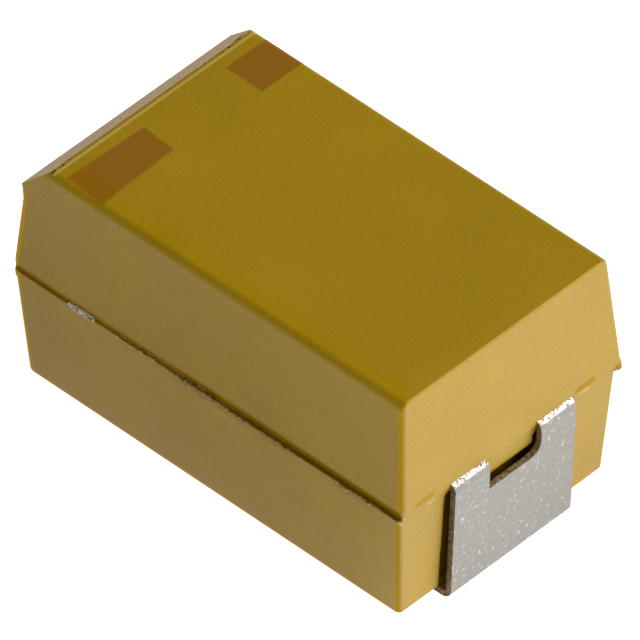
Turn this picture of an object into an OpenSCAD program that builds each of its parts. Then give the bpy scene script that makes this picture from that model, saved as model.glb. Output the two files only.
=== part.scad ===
// Moulded tantalum chip capacitor, case size 7343-43.
// The cathode end points along +X, the bevelled anode end along -X, and the feet stand on z = 0.

/* [Case] */
// Length of the upper half where it would meet the parting plane
case_l = 7.33; // [7.0:0.01:7.7]
// Width of the upper half where it would meet the parting plane
case_w = 4.31; // [4.0:0.01:4.6]
// Height of the case's top above the board
case_top = 4.07; // [3.9:0.01:4.4]
// Gap between the board and the case's underside
standoff = 0.19; // [0.15:0.01:0.3]
// Height of the parting plane, on which the lead strips lie
parting_z = 2.08; // [1.9:0.01:2.2]
// How much smaller the lower half is, all round
lower_inset = 0.04; // [0:0.005:0.06]
// Draft of the upper half's ends, in degrees
end_draft = 4.1; // [2:0.1:7]
// Draft of the upper half's long sides, in degrees
side_draft = 4.6; // [2:0.1:7]
// Draft of the lower half, in degrees
lower_draft = 3.85; // [3:0.1:7]
// Radius of the upright corners
corner_r = 0.13; // [0.12:0.01:0.3]
// Radius of the edges round the top
top_edge_r = 0.12; // [0.05:0.01:0.12]
// Radius of the edges round the underside
bottom_edge_r = 0.07; // [0.03:0.005:0.1]
// How far the two halves of the mould are out of line, each from the middle
half_shift = 0.024; // [0:0.001:0.04]

/* [Parting groove] */
// Height of the groove that blasting off the flash left above the parting plane
groove_h = 0.16; // [0.08:0.01:0.2]
// Depth of the groove along the long sides
groove_d = 0.05; // [0.01:0.005:0.06]
// Depth of the groove across the ends
end_groove_d = 0.012; // [0:0.001:0.04]
// Height of the blunt edge round the top of the lower half
lip_h = 0.04; // [0.02:0.01:0.1]
// Depth of the blunt edge
lip_d = 0.012; // [0.005:0.001:0.04]

/* [Polarity bevel] */
// How far the bevel cuts in along the top
bevel_l = 0.45; // [0.3:0.01:0.7]
// How far the bevel cuts down the anode end
bevel_h = 0.465; // [0.3:0.01:0.7]

/* [Lead strips] */
// Thickness of the strip
lead_t = 0.10; // [0.08:0.005:0.13]
// Width of the strip
lead_w = 2.35; // [2.1:0.05:2.6]
// Length of each foot, from the strip's outermost point
foot_l = 1.3; // [0.9:0.05:1.6]
// Angle by which the riser springs away from the drafted end of the case
lead_spring_angle = 1.2; // [0:0.1:2.5]
// Inside radius of the bend where the strip leaves the case
top_bend_r = 0.05; // [0.03:0.01:0.2]
// Inside radius of the bend at the foot
foot_bend_r = 0.08; // [0.04:0.01:0.15]
// Width of the cut-out across the upper bend
cutout_w = 1.0; // [0.6:0.05:1.4]
// Height of the cut-out's floor above the board
cutout_z = 1.67; // [1.4:0.01:1.8]
// Radius of the cut-out's blunt corner
cutout_r = 0.2; // [0.1:0.01:0.3]
// How far the cut-out runs in from the strip's outermost point
cutout_l = 0.6; // [0.4:0.01:0.7]

/* [Tie bar] */
// Width of the anode strip's tie bar
tie_w = 0.5; // [0.3:0.05:0.6]

/* [Anode] */
// Length of the sintered slug
slug_l = 4.5; // [3.6:0.1:4.6]
// Width of the slug
slug_w = 3.3; // [2.6:0.1:3.5]
// Height of the slug
slug_h = 2.8; // [2.2:0.1:3.0]
// Distance of the slug's wire face from the middle of the case, towards the anode end
slug_face = 1.9; // [1.8:0.05:2.0]
// Diameter of the tantalum wire
wire_d = 0.3; // [0.2:0.01:0.36]
// Depth of the wire in the slug
wire_in = 1.5; // [0.8:0.1:2.5]
// Length of wire welded along the anode strip
weld_l = 0.7; // [0.4:0.05:0.9]
// Depth that the weld presses flat on the wire
weld_flat = 0.03; // [0.01:0.005:0.05]
// Diameter of the insulating washer
washer_d = 1.1; // [0.8:0.05:1.6]
// Thickness of the washer
washer_t = 0.12; // [0.08:0.01:0.2]
// Gap between the washer and the anode strip
washer_gap = 0.06; // [0.03:0.01:0.12]

/* [Coats] */
// Thickness of the manganese dioxide on the slug
mno2_t = 0.04; // [0.02:0.005:0.06]
// Thickness of the graphite
graphite_t = 0.02; // [0.01:0.005:0.04]
// Thickness of the silver paint
silver_t = 0.04; // [0.02:0.005:0.06]
// How far each outer coat stops short of the one below it at the wire end
coat_setback = 0.12; // [0.05:0.01:0.3]

/* [Cathode joint] */
// Thickness of the silver adhesive
adhesive_t = 0.05; // [0.03:0.005:0.08]
// Margin of strip left bare round the adhesive
adhesive_margin = 0.1; // [0.05:0.01:0.2]
// Length of the cathode strip's tongue under the slug
tongue_l = 3.2; // [2.0:0.1:4.0]
// Inside radius of the bends down to the tongue
joggle_r = 0.06; // [0.03:0.01:0.1]

/* [Hidden] */
$fn = 48;
HULL_CORNER_FN = 32;
HULL_EDGE_FN = 16;
BEYOND = 1;

// The lead strip, whose lower face lies in the parting plane, and its bends.
lead_top = parting_z + lead_t;
lead_bottom = parting_z;
lead_out = case_l / 2 - lower_inset + lead_t;
lead_lean = lower_draft - lead_spring_angle;
top_bend_ro = top_bend_r + lead_t;
foot_bend_ro = foot_bend_r + lead_t;
top_bend = [lead_out - top_bend_ro, lead_top - top_bend_ro];
bend_step = top_bend_ro - foot_bend_ro;
riser_l = (top_bend[1] - bend_step * sin(lead_lean) - foot_bend_ro) / cos(lead_lean);
foot_bend = [top_bend[0] + bend_step * cos(lead_lean) - riser_l * sin(lead_lean), foot_bend_ro];
cutout_end = lead_out - cutout_l;

// The wire lies on the anode strip, and the slug is centred on the wire.
wire_z = lead_top + wire_d / 2 - weld_flat;
slug_x0 = -slug_face;
slug_x1 = slug_x0 + slug_l;
tab_end = slug_x0 - washer_t - washer_gap;
wire_x0 = tab_end - weld_l;
tie_y = (case_w - lower_inset) / 2;

// The coats, each outside the last.
graphite_in = mno2_t;
silver_in = mno2_t + graphite_t;
coats_t = mno2_t + graphite_t + silver_t;
stack_x1 = slug_x1 + coats_t;
stack_z0 = wire_z - slug_h / 2 - coats_t;

// The cathode strip inside the case: down the slug's end and under it.
wall_x = stack_x1 + adhesive_t;
tongue_top = stack_z0 - adhesive_t;
joggle_ro = joggle_r + lead_t;
tongue_x0 = wall_x - tongue_l;

// Centre of a circle of radius r that touches two planes with outward normals a and b, which meet at p.
function blend_centre(p, a, b, r) = p - r * (a + b) / (1 + a * b);

// Half length and half width of a drafted half at height z.
function upper_x(z) = case_l / 2 - (z - parting_z) * tan(end_draft);
function upper_y(z) = case_w / 2 - (z - parting_z) * tan(side_draft);
function lower_x(z) = case_l / 2 - lower_inset - (parting_z - z) * tan(lower_draft);
function lower_y(z) = case_w / 2 - lower_inset - (parting_z - z) * tan(lower_draft);

// A ring whose outer edge is rounded: the corner of a drafted half, at the height of its centre.
module corner_ring(x, y, z, edge_r) {
    translate([x - (corner_r - edge_r), y - (corner_r - edge_r), z])
        rotate_extrude($fn = HULL_CORNER_FN)
            translate([corner_r - edge_r, 0])
                intersection() {
                    circle(edge_r, $fn = HULL_EDGE_FN);
                    translate([0, -edge_r])
                        square([edge_r, 2 * edge_r]);
                }
}

// The sloped rim of a half at a corner: a cone, wide at its top, that slants so that its foot stands
// in by side_d from the long side and by end_d from the end.
module joint_corner(x, y, h, side_d, end_d) {
    slant = end_d - side_d;
    multmatrix([
        [1, 0, slant / h, x - corner_r - slant],
        [0, 1, 0, y - corner_r],
        [0, 0, 1, 0],
        [0, 0, 0, 1]
    ])
        cylinder(h = h, r1 = corner_r - side_d, r2 = corner_r, $fn = HULL_CORNER_FN);
}

// The upper half of the case: rounded above, sloped into the groove below, and cut by the bevel.
module upper_half() {
    end_n = [cos(end_draft), sin(end_draft)];
    edge = blend_centre([upper_x(case_top), case_top], [0, 1], end_n, top_edge_r);
    edge_y = upper_y(edge[1]) - top_edge_r / cos(side_draft);
    rim = parting_z + groove_h;
    difference() {
        hull()
            four_corners() {
                translate([0, 0, parting_z])
                    joint_corner(upper_x(rim), upper_y(rim), groove_h, groove_d, end_groove_d);
                corner_ring(edge[0], edge_y, edge[1], top_edge_r);
            }
        bevel_cut();
    }
}

// What the bevel takes off the anode end: the wedge above the line between its two edges.
module bevel_cut() {
    top = [-upper_x(case_top) + bevel_l, case_top];
    foot = [-upper_x(case_top - bevel_h), case_top - bevel_h];
    run = (top - foot) / norm(top - foot);
    across(case_w + BEYOND)
        polygon([foot - BEYOND * run, top + BEYOND * run, [foot[0] - BEYOND, top[1] + BEYOND]]);
}

// A form in the quarter towards +X and +Y, repeated at all four corners.
module four_corners() {
    for (side = [0, 1], end = [0, 1])
        mirror([0, side, 0])
            mirror([end, 0, 0])
                children();
}

// The lower half of the case.
module lower_half() {
    edge_z = standoff + bottom_edge_r;
    inset = bottom_edge_r / cos(lower_draft);
    rim = parting_z - lip_h;
    hull()
        four_corners() {
            translate([0, 0, parting_z])
                mirror([0, 0, 1])
                    joint_corner(lower_x(rim), lower_y(rim), lip_h, lip_d, lip_d);
            corner_ring(lower_x(edge_z) - inset, lower_y(edge_z) - inset, edge_z, bottom_edge_r);
        }
}

// The case: two halves moulded as one, closed exactly round what it holds.
module case() {
    color([0.60, 0.48, 0.12])
        difference() {
            union() {
                translate([0, half_shift, 0]) upper_half();
                translate([0, -half_shift, 0]) lower_half();
            }
            cathode_strip();
            anode_strip();
            wire_rod();
            washer_disc(0);
            coat_block(0, 0);
            coat_block(mno2_t, 0);
            coat_block(silver_in, coat_setback);
            coat_block(coats_t, 2 * coat_setback);
            adhesive_fillet();
        }
}

// A bend of the strip, seen from the side: an arc of its thickness between two angles.
module bend(centre, inner_r, from, to) {
    outer_r = inner_r + lead_t;
    reach = 2 * outer_r;
    mid = (from + to) / 2;
    translate(centre)
        intersection() {
            difference() {
                circle(outer_r);
                circle(inner_r);
            }
            polygon([
                [0, 0],
                reach * [cos(from), sin(from)],
                reach * [cos(mid), sin(mid)],
                reach * [cos(to), sin(to)]
            ]);
        }
}

// The strip outside the case and through its end, seen from the side, in to x = inner_x.
module terminal_profile(inner_x) {
    translate([inner_x, lead_bottom])
        square([top_bend[0] - inner_x, lead_t]);
    bend(top_bend, top_bend_r, -lead_lean, 90);
    translate(top_bend)
        rotate(-lead_lean)
            translate([top_bend_r, -riser_l])
                square([lead_t, riser_l]);
    bend(foot_bend, foot_bend_r, -90, -lead_lean);
    translate([lead_out - foot_l, 0])
        square([foot_bend[0] - lead_out + foot_l, lead_t]);
}

// The punched cut-out: square towards one side of the strip, blunt towards the other.
module cutout() {
    rise = case_top - cutout_z;
    translate([cutout_end, 0, cutout_z])
        rotate([90, 0, 90])
            linear_extrude(cutout_l + BEYOND)
                union() {
                    translate([-cutout_w / 2, 0])
                        square([cutout_w - cutout_r, rise]);
                    translate([cutout_w / 2 - cutout_r, cutout_r])
                        square([cutout_r, rise - cutout_r]);
                    translate([cutout_w / 2 - cutout_r, cutout_r])
                        circle(cutout_r);
                }
}

// A side view in the plane of length and height, made lead_w wide.
module across(width) {
    rotate([90, 0, 0])
        linear_extrude(width, center = true)
            children();
}

// The cathode strip: foot, riser, bend, and the joggle that carries the slug.
module cathode_strip() {
    shoulder = wall_x + joggle_ro;
    difference() {
        across(lead_w)
            union() {
                terminal_profile(shoulder);
                bend([shoulder, lead_bottom - joggle_r], joggle_r, 90, 180);
                translate([wall_x, tongue_top + joggle_r])
                    square([lead_t, lead_bottom - tongue_top - 2 * joggle_r]);
                bend([wall_x - joggle_r, tongue_top + joggle_r], joggle_r, -90, 0);
                translate([tongue_x0, tongue_top - lead_t])
                    square([wall_x - joggle_r - tongue_x0, lead_t]);
            }
        cutout();
    }
}

// The anode strip: foot, riser, bend, and the tab that the wire is welded on, with its tie bar.
module anode_strip() {
    mirror([1, 0, 0])
        difference() {
            across(lead_w)
                terminal_profile(-tab_end);
            cutout();
        }
    translate([tab_end - tie_w, -tie_y, lead_bottom])
        cube([tie_w, tie_y, lead_t]);
}

module cathode_lead() {
    color([0.72, 0.70, 0.67])
        cathode_strip();
}

module anode_lead() {
    color([0.72, 0.70, 0.67])
        anode_strip();
}

// The wire, pressed flat underneath where it is welded.
module wire_rod() {
    difference() {
        translate([wire_x0, 0, wire_z])
            rotate([0, 90, 0])
                cylinder(h = slug_x0 + wire_in - wire_x0, d = wire_d);
        translate([wire_x0 - BEYOND, -wire_d, lead_top - wire_d])
            cube([tab_end - wire_x0 + BEYOND, 2 * wire_d, wire_d]);
    }
}

module anode_wire() {
    color([0.45, 0.46, 0.48])
        wire_rod();
}

// The washer's outer form; a bore of bore_d runs through it.
module washer_disc(bore_d) {
    translate([slug_x0 - washer_t, 0, wire_z])
        rotate([0, 90, 0])
            difference() {
                cylinder(h = washer_t, d = washer_d);
                if (bore_d > 0)
                    translate([0, 0, -BEYOND])
                        cylinder(h = washer_t + 2 * BEYOND, d = bore_d);
            }
}

module washer() {
    color([0.93, 0.93, 0.90])
        washer_disc(wire_d);
}

// The slug grown by a coat's outer thickness on every face but the wire's, starting short of that face.
module coat_block(grow, short) {
    translate([slug_x0 + short, -slug_w / 2 - grow, wire_z - slug_h / 2 - grow])
        cube([slug_l - short + grow, slug_w + 2 * grow, slug_h + 2 * grow]);
}

module anode_slug() {
    color([0.30, 0.30, 0.32])
        difference() {
            coat_block(0, 0);
            wire_rod();
        }
}

// A coat between two growths, open at the wire end.
module coat(inner, outer, short) {
    difference() {
        coat_block(outer, short);
        coat_block(inner, 0);
    }
}

module manganese_dioxide_coat() {
    color([0.14, 0.13, 0.13])
        coat(0, graphite_in, 0);
}

module graphite_coat() {
    color([0.22, 0.22, 0.23])
        coat(graphite_in, silver_in, coat_setback);
}

module silver_coat() {
    color([0.75, 0.75, 0.76])
        coat(silver_in, coats_t, 2 * coat_setback);
}

// The adhesive between the silver coat and the strip: under the slug, round the corner and up its end.
module adhesive_fillet() {
    across(lead_w - 2 * adhesive_margin)
        difference() {
            union() {
                translate([tongue_x0 + adhesive_margin, tongue_top])
                    square([wall_x - joggle_r - tongue_x0 - adhesive_margin, adhesive_t]);
                translate([stack_x1, tongue_top + joggle_r])
                    square([adhesive_t, lead_bottom - 2 * joggle_r - tongue_top - adhesive_margin]);
                translate([wall_x - joggle_r, tongue_top + joggle_r])
                    circle(joggle_r);
            }
            translate([stack_x1 - slug_l, stack_z0])
                square([slug_l, slug_h]);
        }
}

module cathode_adhesive() {
    color([0.66, 0.66, 0.68])
        adhesive_fillet();
}

case();
cathode_lead();
anode_lead();
anode_slug();
anode_wire();
washer();
manganese_dioxide_coat();
graphite_coat();
silver_coat();
cathode_adhesive();
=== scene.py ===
# Looks for a moulded tantalum chip capacitor: slug and coats inside, folded lead strips, epoxy case.
# Sizes are in millimetres here, in the part's own frame, and become metres when a mesh is made.
import bpy
import bmesh
import numpy as np
from mathutils import Matrix, Vector


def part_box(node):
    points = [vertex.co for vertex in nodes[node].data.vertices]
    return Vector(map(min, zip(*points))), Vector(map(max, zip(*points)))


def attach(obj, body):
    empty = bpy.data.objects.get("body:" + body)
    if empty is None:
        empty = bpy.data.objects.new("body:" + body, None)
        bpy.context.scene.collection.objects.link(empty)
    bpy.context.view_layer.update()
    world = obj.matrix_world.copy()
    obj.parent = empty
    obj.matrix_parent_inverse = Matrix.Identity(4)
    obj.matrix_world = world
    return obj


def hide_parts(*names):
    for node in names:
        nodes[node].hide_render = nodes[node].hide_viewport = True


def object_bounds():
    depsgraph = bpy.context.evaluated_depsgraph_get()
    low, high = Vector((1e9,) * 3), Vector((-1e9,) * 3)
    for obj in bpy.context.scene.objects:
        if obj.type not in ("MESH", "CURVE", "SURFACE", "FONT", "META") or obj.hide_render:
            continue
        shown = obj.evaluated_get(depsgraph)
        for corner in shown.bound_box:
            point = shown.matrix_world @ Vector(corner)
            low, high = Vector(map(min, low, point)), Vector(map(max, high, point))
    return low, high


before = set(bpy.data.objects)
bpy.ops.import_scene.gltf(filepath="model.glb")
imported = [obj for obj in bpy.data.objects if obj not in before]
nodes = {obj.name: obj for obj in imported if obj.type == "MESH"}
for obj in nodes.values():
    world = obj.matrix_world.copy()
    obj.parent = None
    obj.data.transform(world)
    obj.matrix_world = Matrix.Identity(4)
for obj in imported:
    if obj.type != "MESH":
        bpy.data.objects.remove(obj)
cad_low, cad_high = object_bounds()
MM = 0.001


# ---- Anode slug -------------------------------------------------------------------------------
# The real anode is tantalum powder pressed into a block and sintered: a dark grey, porous sponge.
# It is hidden in the case, so the solid keeps its plain form and gets its grain from the material.
SLUG_GREY = (0.09, 0.09, 0.10)
SLUG_PORE = (0.02, 0.02, 0.024)
PORES_PER_MM = 22


def finish(name):
    """A new material with its own nodes. Returns it, a function that adds a node, one that links two
    sockets, and its shader."""
    made = bpy.data.materials.new(name)
    made.use_nodes = True
    tree = made.node_tree
    shader = tree.nodes["Principled BSDF"]

    def add(kind, **settings):
        node = tree.nodes.new("ShaderNode" + kind)
        for key, value in settings.items():
            if key in node.inputs:
                node.inputs[key].default_value = value
            else:
                setattr(node, key, value)
        return node

    return made, add, tree.links.new, shader


def in_millimetres(add, link, stretch=(1, 1, 1)):
    """Object coordinates counted in millimetres, each axis times its own stretch."""
    place = add("TexCoord")
    scaled = add("Mapping", vector_type="POINT")
    scaled.inputs["Scale"].default_value = [s / MM for s in stretch]
    link(place.outputs["Object"], scaled.inputs["Vector"])
    return scaled.outputs["Vector"]


def noise(add, link, place, per_mm, detail=2.0, roughness=0.5):
    """A noise pattern with so many features to the millimetre; returns its value, 0 to 1."""
    pattern = add("TexNoise")
    pattern.inputs["Scale"].default_value = per_mm
    pattern.inputs["Detail"].default_value = detail
    pattern.inputs["Roughness"].default_value = roughness
    link(place, pattern.inputs["Vector"])
    return pattern.outputs["Fac"]


def ramp(add, link, value, low, high, low_colour=(0, 0, 0), high_colour=(1, 1, 1)):
    """Two colours blended as a value goes from low to high."""
    blend = add("ValToRGB")
    blend.color_ramp.elements[0].position = low
    blend.color_ramp.elements[0].color = (*low_colour, 1)
    blend.color_ramp.elements[1].position = high
    blend.color_ramp.elements[1].color = (*high_colour, 1)
    link(value, blend.inputs["Fac"])
    return blend.outputs["Color"]


def blended(add, link, share, under, over):
    """One colour laid over another by a share from 0 to 1; each may be a fixed colour or an output."""
    mix = add("Mix", data_type="RGBA")
    link(share, mix.inputs["Factor"])
    for socket, colour in ((mix.inputs[6], under), (mix.inputs[7], over)):
        if isinstance(colour, tuple):
            socket.default_value = (*colour, 1)
        else:
            link(colour, socket)
    return mix.outputs[2]


def reckoned(add, link, operation, first, second, clamp=False):
    """The result of a Math node on two numbers, each fixed or an output."""
    sum_node = add("Math", operation=operation, use_clamp=clamp)
    for socket, value in zip(sum_node.inputs, (first, second)):
        if isinstance(value, (int, float)):
            socket.default_value = value
        else:
            link(value, socket)
    return sum_node.outputs[0]


def raised(add, link, shader, height, depth_mm, strength=1.0):
    """Bump on the shader: a height from 0 to 1 stands for depth_mm."""
    bump = add("Bump")
    bump.inputs["Strength"].default_value = strength
    bump.inputs["Distance"].default_value = depth_mm * MM
    link(height, bump.inputs["Height"])
    link(bump.outputs["Normal"], shader.inputs["Normal"])


def give(name, material):
    """Puts a material on a CAD node in place of the one it came with."""
    slots = nodes[name].data.materials
    slots.clear()
    slots.append(material)


sinter, add, link, shader = finish("sintered_tantalum")
place = in_millimetres(add, link)
pores = noise(add, link, place, PORES_PER_MM, detail=6.0, roughness=0.7)
link(ramp(add, link, pores, 0.42, 0.58, SLUG_PORE, SLUG_GREY), shader.inputs["Base Color"])
shader.inputs["Roughness"].default_value = 0.8
shader.inputs["Metallic"].default_value = 0.6
raised(add, link, shader, pores, 0.03)
give("anode_slug", sinter)


# ---- Anode wire -------------------------------------------------------------------------------
# Drawn tantalum wire, pressed into the slug before sintering and welded to the anode strip.
# Drawing leaves fine lines along it.
WIRE_GREY = (0.22, 0.23, 0.25)
WIRE_LIGHT = (0.34, 0.35, 0.37)

drawn, add, link, shader = finish("tantalum_wire")
place = in_millimetres(add, link, stretch=(1, 24, 24))
lines = noise(add, link, place, 1.5, detail=3.0)
link(ramp(add, link, lines, 0.35, 0.65, WIRE_GREY, WIRE_LIGHT), shader.inputs["Base Color"])
link(reckoned(add, link, "ADD", reckoned(add, link, "MULTIPLY", lines, 0.3), 0.2), shader.inputs["Roughness"])
shader.inputs["Metallic"].default_value = 1.0
raised(add, link, shader, lines, 0.004)
give("anode_wire", drawn)


# ---- Washer -----------------------------------------------------------------------------------
# A punched fluoropolymer washer on the wire, which keeps the coats from climbing up to the strip.
WASHER_WHITE = (0.80, 0.80, 0.76)
WASHER_SHADE = (0.66, 0.65, 0.60)

waxy, add, link, shader = finish("washer_plastic")
place = in_millimetres(add, link)
cloud = noise(add, link, place, 5, detail=3.0)
link(ramp(add, link, cloud, 0.3, 0.7, WASHER_SHADE, WASHER_WHITE), shader.inputs["Base Color"])
shader.inputs["Roughness"].default_value = 0.38
shader.inputs["Subsurface Weight"].default_value = 0.15
shader.inputs["Subsurface Scale"].default_value = 0.1 * MM
raised(add, link, shader, cloud, 0.003)
give("washer", waxy)


# ---- Coats on the slug ------------------------------------------------------------------------
# Three dips, each outside the last: manganese dioxide, which is black and crystalline, colloidal
# graphite, which is dull, and silver paint, whose flakes lie flat and glint.
DIOXIDE_BLACK = (0.016, 0.014, 0.014)
DIOXIDE_CRYSTAL = (0.07, 0.065, 0.07)
GRAPHITE_DARK = (0.03, 0.03, 0.032)
GRAPHITE_LIGHT = (0.075, 0.075, 0.08)
SILVER_PALE = (0.66, 0.66, 0.67)
SILVER_DULL = (0.42, 0.42, 0.43)


def coat_finish(name, dark, light, per_mm, rough, metallic, depth_mm):
    """A dipped coat: noise blends its dark and light colours, varies its gloss and raises its grain."""
    made, add, link, shader = finish(name)
    place = in_millimetres(add, link)
    grain = noise(add, link, place, per_mm, detail=4.0, roughness=0.6)
    link(ramp(add, link, grain, 0.38, 0.62, dark, light), shader.inputs["Base Color"])
    link(reckoned(add, link, "ADD", reckoned(add, link, "MULTIPLY", grain, 0.25), rough - 0.12),
         shader.inputs["Roughness"])
    shader.inputs["Metallic"].default_value = metallic
    raised(add, link, shader, grain, depth_mm)
    return made


dioxide = coat_finish("manganese_dioxide", DIOXIDE_BLACK, DIOXIDE_CRYSTAL, 30, 0.5, 0.2, 0.02)
give("manganese_dioxide_coat", dioxide)
give("graphite_coat", coat_finish("graphite", GRAPHITE_DARK, GRAPHITE_LIGHT, 14, 0.6, 0.1, 0.006))
give("silver_coat", coat_finish("silver_paint", SILVER_DULL, SILVER_PALE, 20, 0.42, 0.8, 0.005))


# ---- Cathode adhesive -------------------------------------------------------------------------
# A silver-loaded epoxy, dispensed on the strip before the slug is laid in and then cured.
ADHESIVE_GREY = (0.40, 0.40, 0.42)
ADHESIVE_FLAKE = (0.58, 0.58, 0.60)
give("cathode_adhesive", coat_finish("silver_adhesive", ADHESIVE_GREY, ADHESIVE_FLAKE, 26, 0.5, 0.55, 0.008))


# ---- Lead strips ------------------------------------------------------------------------------
# Two nickel-iron strips cut from one lead frame, tinned matte, folded down the case's ends and
# under it as feet. Their sides and cut-outs are sheared after tinning, so the bare core shows there.
STRIP_T = 0.10
STRIP_W = 2.35
FOOT_L = 1.3
RISER_LEAN = 2.65
TOP_BEND_R = 0.05
FOOT_BEND_R = 0.08
JOGGLE_R = 0.06
CUTOUT_W = 1.0
CUTOUT_FLOOR = 1.67
CUTOUT_R = 0.2
CUTOUT_L = 0.6
TIE_W = 0.5
TIE_DROOP = 0.032
TIE_ROUGHNESS = 0.012
TIN_ROUGHNESS = 0.0012
SHEARED_EDGE_R = 0.008
STRIP_STEP = 0.03
TAB_COLUMNS = 24
MIDDLE_COLUMNS = 30
TIN = (0.69, 0.672, 0.632)
TIN_DARK = (0.50, 0.483, 0.448)
TIN_DULL = (0.40, 0.3864, 0.3584)
TIN_WORN = (0.60, 0.585, 0.55)
# Stretched tin, painted near-white on the bend, partly as a painted highlight.
TIN_STRETCHED_HIGHLIT = (0.90, 0.89, 0.86)
TORN_TIN = (0.84, 0.76, 0.58)
# The dark painted in the torn end's hollows as painted shade.
TORN_HOLLOW_SHADE = (0.36, 0.31, 0.21)
CORE_GREY = (0.31, 0.24, 0.135)
CORE_BROWN = (0.12, 0.07, 0.02)
FLECK_BROWN = (0.42, 0.27, 0.12)
CRAZED_FROM = 2.105
CRAZED_FULL = 2.13


def grit(x, y, z, size, seed):
    """A smooth random field from -1 to 1: each corner of a lattice of that cell size has its own random
    value, from a hash of its whole-number place, and values blend between corners by a smooth step."""
    place = np.stack(np.broadcast_arrays(x, y, z)) / size + 1000.0
    cell = np.floor(place).astype(np.int64)
    share = place - cell
    share = share * share * (3 - 2 * share)
    total = 0.0
    for corner in np.ndindex(2, 2, 2):
        mixed = seed * 83492791
        weight = 1.0
        for axis, prime in enumerate((73856093, 19349663, 49979687)):
            mixed = mixed ^ ((cell[axis] + corner[axis]) * prime)
            weight = weight * (share[axis] if corner[axis] else 1 - share[axis])
        mixed = ((mixed ^ (mixed >> 13)) * 1274126177) & 0x7FFFFFFF
        total = total + weight * (((mixed ^ (mixed >> 15)) & 0xFFFF) / 0xFFFF)
    return 2 * total - 1


def ease(value, low, high):
    """0 below low, 1 above high, and a smooth step between them."""
    share = np.clip((value - low) / (high - low), 0, 1)
    return share * share * (3 - 2 * share)


def folded_path(start, heading, legs, step):
    """The middle line of a strip folded from one blank: straight runs, each followed by an arc.
    A leg is (length, turn in degrees, radius of the middle line). Returns points and left normals."""
    at, angle = np.array(start, float), np.radians(heading)
    points, normals = [], []
    for length, turn, radius in legs:
        ahead = np.array([np.cos(angle), np.sin(angle)])
        left = np.array([-ahead[1], ahead[0]])
        along = np.linspace(0, length, max(2, round(length / step)), endpoint=False)[:, None]
        points.append(at + along * ahead)
        normals.append(np.repeat(left[None], len(along), axis=0))
        at = at + length * ahead
        if turn:
            side = np.sign(turn)
            centre = at + side * radius * left
            sweep = np.radians(turn)
            swept = np.linspace(0, sweep, max(7, round(abs(sweep) * radius / (0.5 * step))), endpoint=False)
            across = np.stack([-np.sin(angle + swept), np.cos(angle + swept)], axis=1)
            points.append(centre - side * radius * across)
            normals.append(across)
            angle += sweep
            at = centre - side * radius * np.array([-np.sin(angle), np.cos(angle)])
    points.append(at[None])
    normals.append(np.array([[-np.sin(angle), np.cos(angle)]]))
    return np.concatenate(points), np.concatenate(normals)


def solid_mesh(name, points_mm, faces, kinds=None, smooth=True):
    """A mesh object from points in millimetres and quads or triangles; kinds gives each face its slot."""
    mesh = bpy.data.meshes.new(name)
    mesh.from_pydata((np.asarray(points_mm) * MM).tolist(), [], faces)
    if kinds is not None:
        mesh.polygons.foreach_set("material_index", np.asarray(kinds, dtype=np.int32))
    mesh.polygons.foreach_set("use_smooth", np.full(len(mesh.polygons), smooth))
    piece = bpy.data.objects.new(name, mesh)
    bpy.context.scene.collection.objects.link(piece)
    return piece


def strip_surface(points, normals, path_x_cut):
    """A strip of STRIP_T by STRIP_W along a folded path in the x-z plane, with the cut-out through its bend.
    Rows follow the path and columns its width; the columns beside the cut-out follow its blunt corner,
    and the faces inside it are left out. Returns vertices, quads and 1 for each sheared face."""
    x, z = points[:, 0], points[:, 1]
    half = STRIP_W / 2
    in_cut = (z > CUTOUT_FLOOR - 1e-6) & (x > path_x_cut - 1e-6)
    rise = np.clip(z - CUTOUT_FLOOR, 0, CUTOUT_R)
    blunt = CUTOUT_W / 2 - CUTOUT_R + np.sqrt(CUTOUT_R**2 - (CUTOUT_R - rise) ** 2)
    edge = np.where(in_cut, blunt, CUTOUT_W / 2 - CUTOUT_R)
    edge = edge[:, None]
    left = np.repeat(np.linspace(-half, -CUTOUT_W / 2, TAB_COLUMNS)[None], len(x), axis=0)
    middle = -CUTOUT_W / 2 + (edge + CUTOUT_W / 2) * np.linspace(0, 1, MIDDLE_COLUMNS + 1)[1:]
    right = edge + (half - edge) * np.linspace(0, 1, TAB_COLUMNS + 4)[1:]
    y = np.concatenate([left, middle, right], axis=1)
    rows, across = y.shape
    ragged = TIN_ROUGHNESS * grit(x[:, None], y, z[:, None], 0.11, 3)
    skins = []
    for side in (0.5, -0.5):
        offset = side * STRIP_T + (ragged if side > 0 else 0 * ragged)
        skins.append(np.stack([
            x[:, None] + normals[:, :1] * offset,
            y,
            z[:, None] + normals[:, 1:] * offset,
        ], axis=-1).reshape(-1, 3))
    index = np.arange(rows * across).reshape(rows, across)
    kept = np.ones((rows - 1, across - 1), bool)
    cut_rows = in_cut[:-1] & in_cut[1:]
    kept[np.ix_(cut_rows, np.arange(TAB_COLUMNS - 1, TAB_COLUMNS - 1 + MIDDLE_COLUMNS))] = False
    quads = np.stack([index[:-1, :-1], index[:-1, 1:], index[1:, 1:], index[1:, :-1]], axis=-1)[kept]
    below = quads[:, ::-1] + rows * across
    edges = np.concatenate([quads[:, [0, 1]], quads[:, [1, 2]], quads[:, [2, 3]], quads[:, [3, 0]]])
    key = np.sort(edges, axis=1)
    pair = key[:, 0] * (rows * across) + key[:, 1]
    _, first, count = np.unique(pair, return_index=True, return_counts=True)
    rim = edges[first[count == 1]]
    walls = np.stack([rim[:, 1], rim[:, 0], rim[:, 0] + rows * across, rim[:, 1] + rows * across], axis=-1)
    faces = np.concatenate([quads, below, walls])
    kinds = np.concatenate([np.zeros(2 * len(quads), int), np.ones(len(walls), int)])
    return np.concatenate(skins), faces, kinds


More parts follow.
